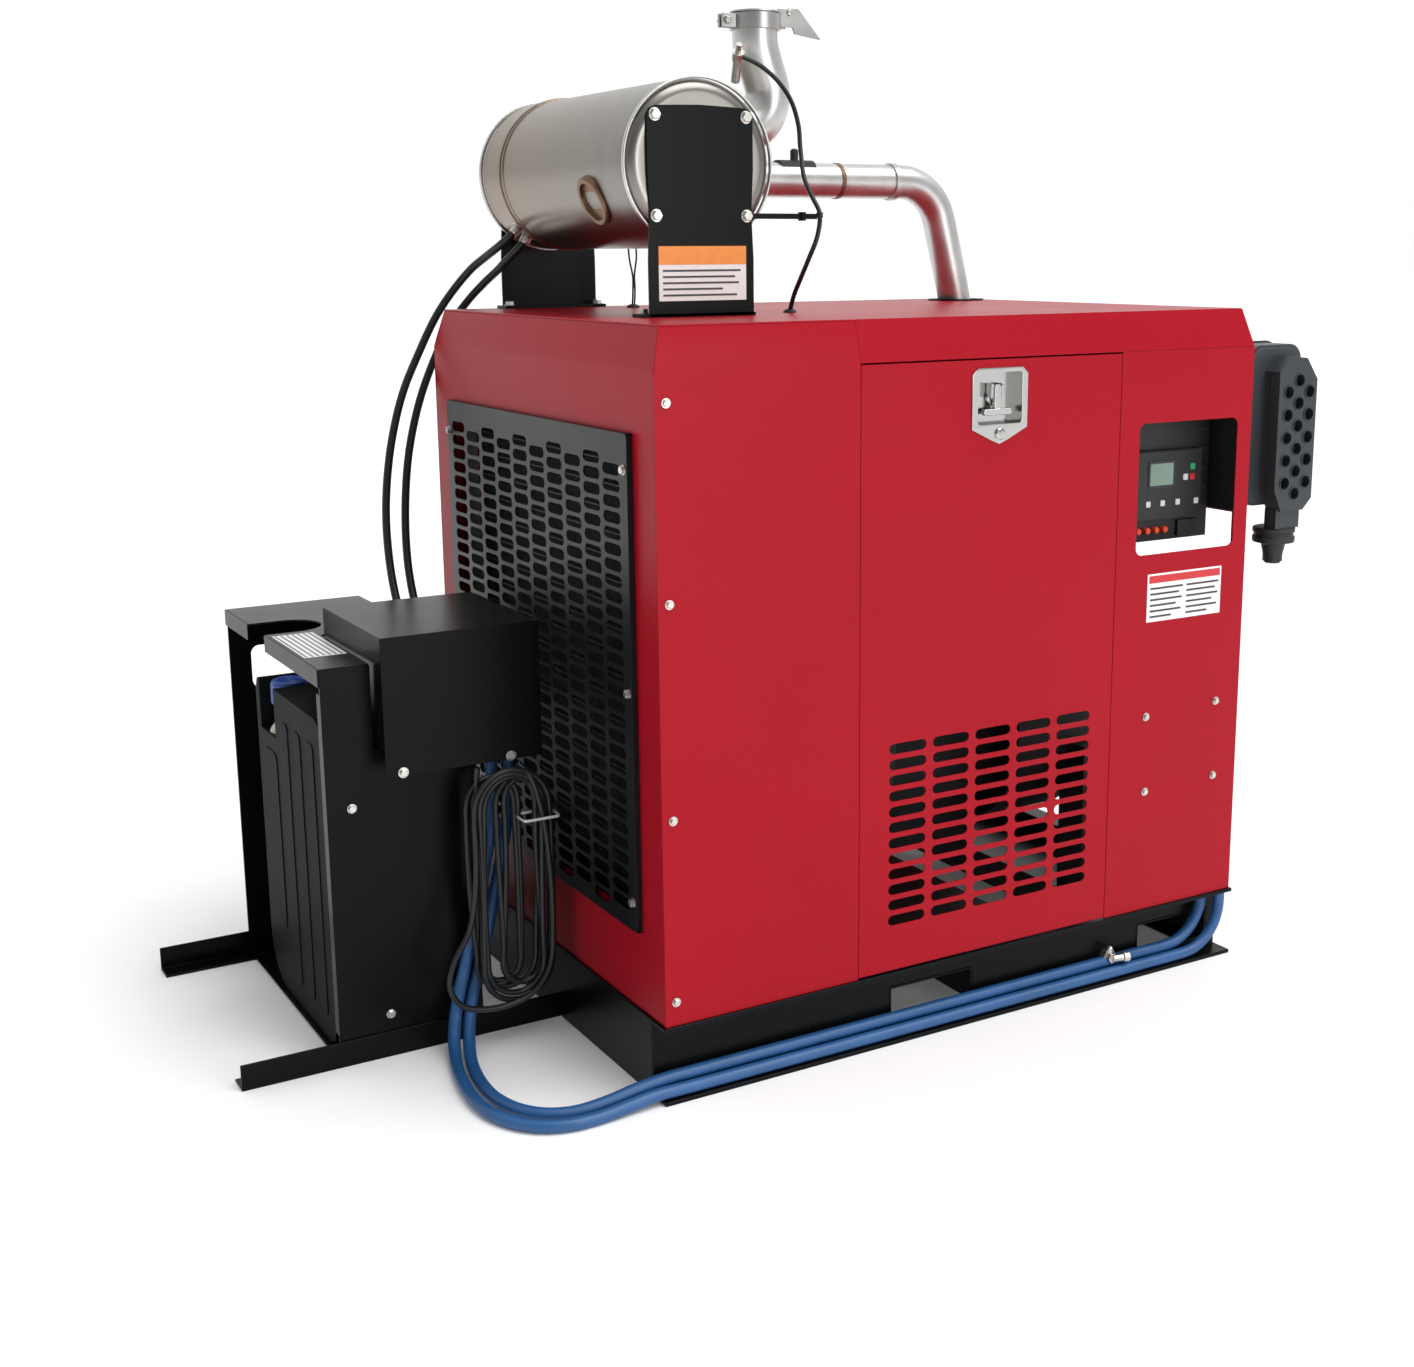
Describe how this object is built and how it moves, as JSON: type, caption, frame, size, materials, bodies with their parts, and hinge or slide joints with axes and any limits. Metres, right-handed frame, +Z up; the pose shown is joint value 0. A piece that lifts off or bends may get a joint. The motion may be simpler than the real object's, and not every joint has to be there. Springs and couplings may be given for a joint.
{
  "type": "enclosed diesel power unit",
  "caption": "Red sheet-metal enclosure on a black skid with an engine inside, exhaust catalyst and pipes on the roof, side air cleaner and a fluid tank stand at the radiator end.",
  "frame": {"origin": "middle of the footprint on the floor, cords left out", "axes": "+X from the tank stand and radiator end towards the drive end, +Y from the door side to the rear, +Z up"},
  "size_m": [2.176, 1.1223, 1.9624],
  "materials": {
    "red_powder_coat": "glossy powder coat with a fine orange peel",
    "black_powder_coat": "semi-gloss powder coat",
    "black_grille": "satin powder coat on punched sheet",
    "polished_latch": "polished stainless",
    "radiator_metal": "dull, finned",
    "engine_casting": "painted casting, rough",
    "machined_steel": "turned",
    "stainless": "rolled, warm heat tint near the welds",
    "aluminised_pipe": "satin aluminised",
    "zinc_plate": "bright zinc plated",
    "moulded_grey": "blue-grey moulding",
    "moulded_black": "fine moulded grain",
    "tank_plastic": "blow-moulded, slightly rough",
    "cap_blue": "moulded blue",
    "black_rubber": "smooth rubber",
    "blue_hose": "smooth silicone hose",
    "black_conduit": "corrugated conduit",
    "key_green": "membrane key",
    "key_red": "moulded key",
    "key_pale": "membrane key"
  },
  "bodies": {
    "machine": {"skid_channel_front": "black_powder_coat", "skid_channel_rear": "black_powder_coat", "skid_end_left": "black_powder_coat", "skid_end_right": "black_powder_coat", "fork_tube_left": "black_powder_coat", "fork_tube_right": "black_powder_coat", "radiator_end_panel": "red_powder_coat", "front_corner_panel": "red_powder_coat", "control_end_panel": "red_powder_coat", "rear_panel": "red_powder_coat", "drive_end_panel": "red_powder_coat", "roof_panel": "red_powder_coat", "radiator_grille": "black_grille", "radiator_core": "radiator_metal", "fan_shroud": "moulded_black", "engine_block": "engine_casting", "cylinder_head": "engine_casting", "flywheel_housing": "engine_casting", "turbocharger": "engine_casting", "exhaust_inlet_pipe": "aluminised_pipe", "exhaust_riser": "aluminised_pipe", "catalyst_canister": "stainless", "catalyst_bracket_front": "black_powder_coat", "catalyst_bracket_rear": "black_powder_coat", "exhaust_outlet_pipe": "stainless", "rain_cap_collar": "zinc_plate", "air_cleaner_housing": "moulded_grey", "air_precleaner": "moulded_grey", "dust_valve": "black_rubber", "intake_duct": "black_rubber", "control_box": "moulded_black", "stand_rail_front": "black_powder_coat", "stand_rail_rear": "black_powder_coat", "stand_side_front": "black_powder_coat", "stand_side_rear": "black_powder_coat", "stand_tray": "black_powder_coat", "stand_top_plate": "black_powder_coat", "fluid_tank": "tank_plastic", "dosing_pump": "moulded_black", "pump_cover": "black_powder_coat", "coolant_hose_a": "blue_hose", "coolant_hose_b": "blue_hose", "dosing_line_a": "black_rubber", "dosing_line_b": "black_rubber", "harness_hank": "black_conduit", "sensor_lead": "black_conduit"},
    "door": {"service_door": "red_powder_coat", "latch_pan": "polished_latch"},
    "latch_turn_body": {"latch_spindle": "polished_latch"},
    "latch_t_handle": {"latch_handle": "polished_latch"},
    "rain_flap": {"rain_cap_flap": "zinc_plate"},
    "filler_cap": {"tank_cap": "cap_blue"},
    "start_key": {"key_start": "key_green"},
    "stop_key": {"key_stop": "key_red"},
    "mode_key": {"key_mode": "key_pale"},
    "breaker_one": {"breaker_1": "key_red"},
    "breaker_two": {"breaker_2": "key_red"},
    "crankshaft": {"flywheel": "machined_steel", "crank_pulley": "machined_steel"},
    "fan": {"cooling_fan": "moulded_black"}
  },
  "joints": [
    {"name": "door_tilt", "type": "hinge", "parent": "machine", "child": "door", "pos_m": [0.2565, -0.5535, 0.151], "axis": [1, 0, 0], "range_deg": [0, 30]},
    {"name": "latch_turn", "type": "hinge", "parent": "door", "child": "latch_turn_body", "pos_m": [0.262, -0.5235, 1.226], "axis": [0, 1, 0], "range_deg": [0, 90]},
    {"name": "latch_fold", "type": "hinge", "parent": "latch_turn_body", "child": "latch_t_handle", "pos_m": [0.262, -0.545, 1.246], "axis": [-1, 0, 0], "range_deg": [0, 90]},
    {"name": "rain_flap_lift", "type": "hinge", "parent": "machine", "child": "rain_flap", "pos_m": [0.122, -0.0235, 1.951], "axis": [0, 1, 0], "range_deg": [0, 50]},
    {"name": "filler_cap_turn", "type": "hinge", "parent": "machine", "child": "filler_cap", "pos_m": [-0.844, 0.3125, 0.634], "axis": [0, 0, 1], "range_deg": [0, 90]},
    {"name": "start_key_press", "type": "slide", "parent": "machine", "child": "start_key", "axis": [0, 1, 0], "range_m": [0, 0.0015], "stiffness_N_per_m": 600},
    {"name": "stop_key_press", "type": "slide", "parent": "machine", "child": "stop_key", "axis": [0, 1, 0], "range_m": [0, 0.0015], "stiffness_N_per_m": 600},
    {"name": "mode_key_press", "type": "slide", "parent": "machine", "child": "mode_key", "axis": [0, 1, 0], "range_m": [0, 0.0015], "stiffness_N_per_m": 600},
    {"name": "breaker_one_press", "type": "slide", "parent": "machine", "child": "breaker_one", "axis": [0, 1, 0], "range_m": [0, 0.003], "stiffness_N_per_m": 600},
    {"name": "breaker_two_press", "type": "slide", "parent": "machine", "child": "breaker_two", "axis": [0, 1, 0], "range_m": [0, 0.003], "stiffness_N_per_m": 600},
    {"name": "crankshaft_spin", "type": "hinge", "parent": "machine", "child": "crankshaft", "pos_m": [0.248, -0.0415, 0.47], "axis": [1, 0, 0], "continuous": true},
    {"name": "fan_spin", "type": "hinge", "parent": "machine", "child": "fan", "pos_m": [-0.262, -0.0415, 0.64], "axis": [1, 0, 0], "continuous": true}
  ],
  "couplings": [
    {"joint": "fan_spin", "follows": "crankshaft_spin", "ratio": 1.1486}
  ]
}
